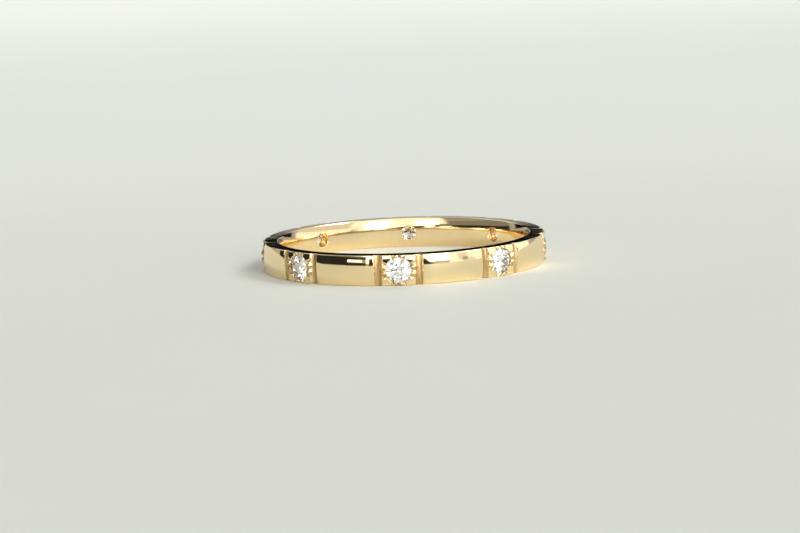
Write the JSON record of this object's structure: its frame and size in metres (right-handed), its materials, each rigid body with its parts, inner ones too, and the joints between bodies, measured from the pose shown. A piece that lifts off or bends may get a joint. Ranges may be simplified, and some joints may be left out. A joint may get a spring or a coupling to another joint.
{
  "type": "eternity ring",
  "caption": "Eternity ring: domed yellow gold band with comfort fit bore, half round grooves and bead set round brilliants all the way round.",
  "frame": {"origin": "on the ring's axis, in the plane of the lower rim that the ring lies on", "axes": "+Z along the ring's axis, up from the surface; -Y from the axis through the middle of stone 1"},
  "size_m": [0.0192, 0.0192, 0.002],
  "materials": {
    "gold": "mirror polished yellow gold",
    "stone": "polished facets, colourless"
  },
  "bodies": {
    "root": {"band": "gold", "stone_1": "stone", "stone_2": "stone", "stone_3": "stone", "stone_4": "stone", "stone_5": "stone", "stone_6": "stone", "stone_7": "stone", "stone_8": "stone"}
  },
  "joints": []
}
